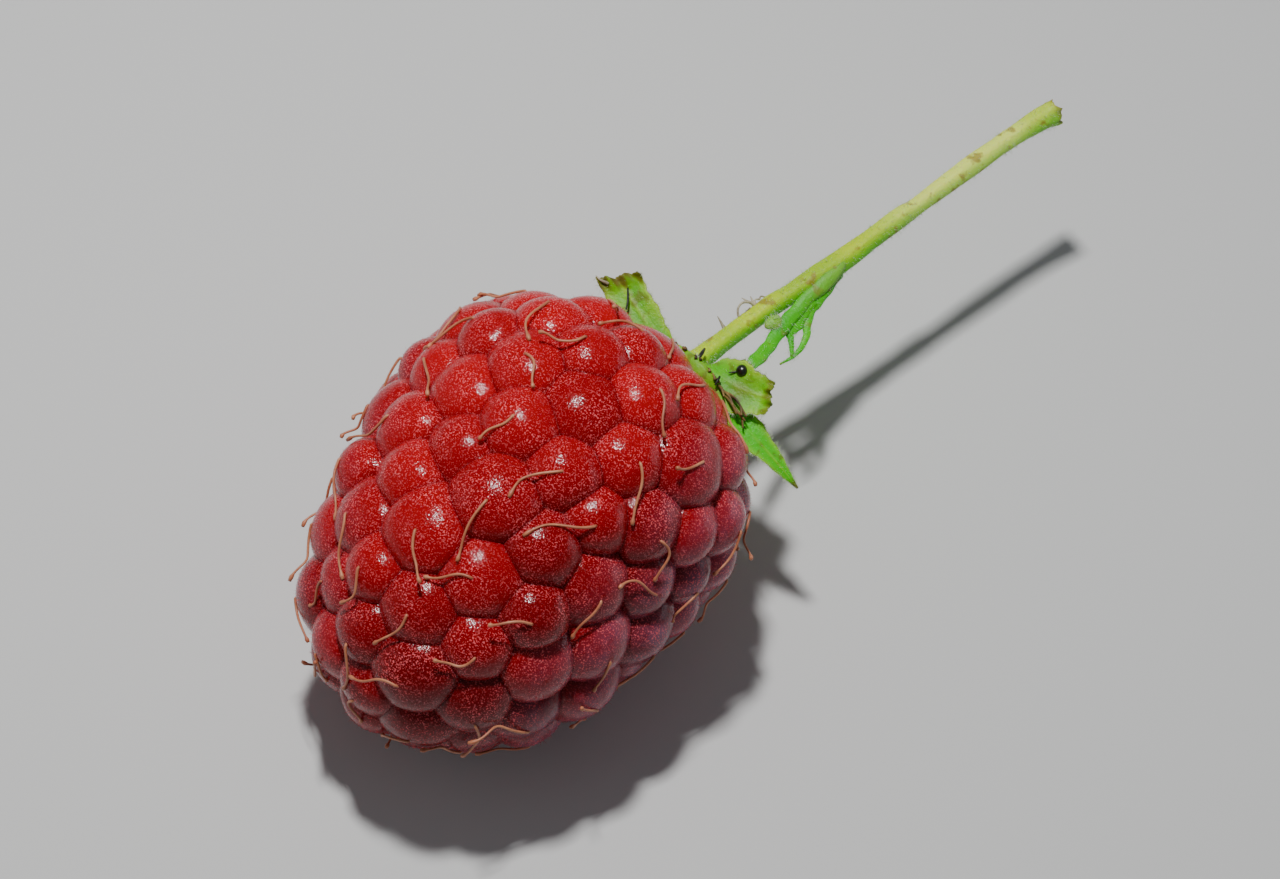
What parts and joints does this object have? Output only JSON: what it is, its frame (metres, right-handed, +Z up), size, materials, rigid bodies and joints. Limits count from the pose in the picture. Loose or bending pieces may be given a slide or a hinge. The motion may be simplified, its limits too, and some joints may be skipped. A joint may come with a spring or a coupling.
{
  "type": "raspberry",
  "caption": "Picked ripe raspberry lying on its side, with red drupelets, a green calyx and its cut stalk with a forked bract.",
  "frame": {"origin": "middle of the flat spot of one of the three drupelets that the fruit rests on, on the surface under it", "axes": "+Z up, +Y from the tip towards the stalk, along the fruit as it lies"},
  "size_m": [0.0187, 0.0452, 0.018],
  "materials": {
    "fruit_skin": "soft sheen with fine down",
    "sepal_green": "matt, softly hairy",
    "stalk_green": "matt",
    "bract_green": "matt"
  },
  "bodies": {
    "root": {"drupelets": "fruit_skin", "calyx": "sepal_green", "pedicel": "stalk_green", "bract": "bract_green"}
  },
  "joints": []
}
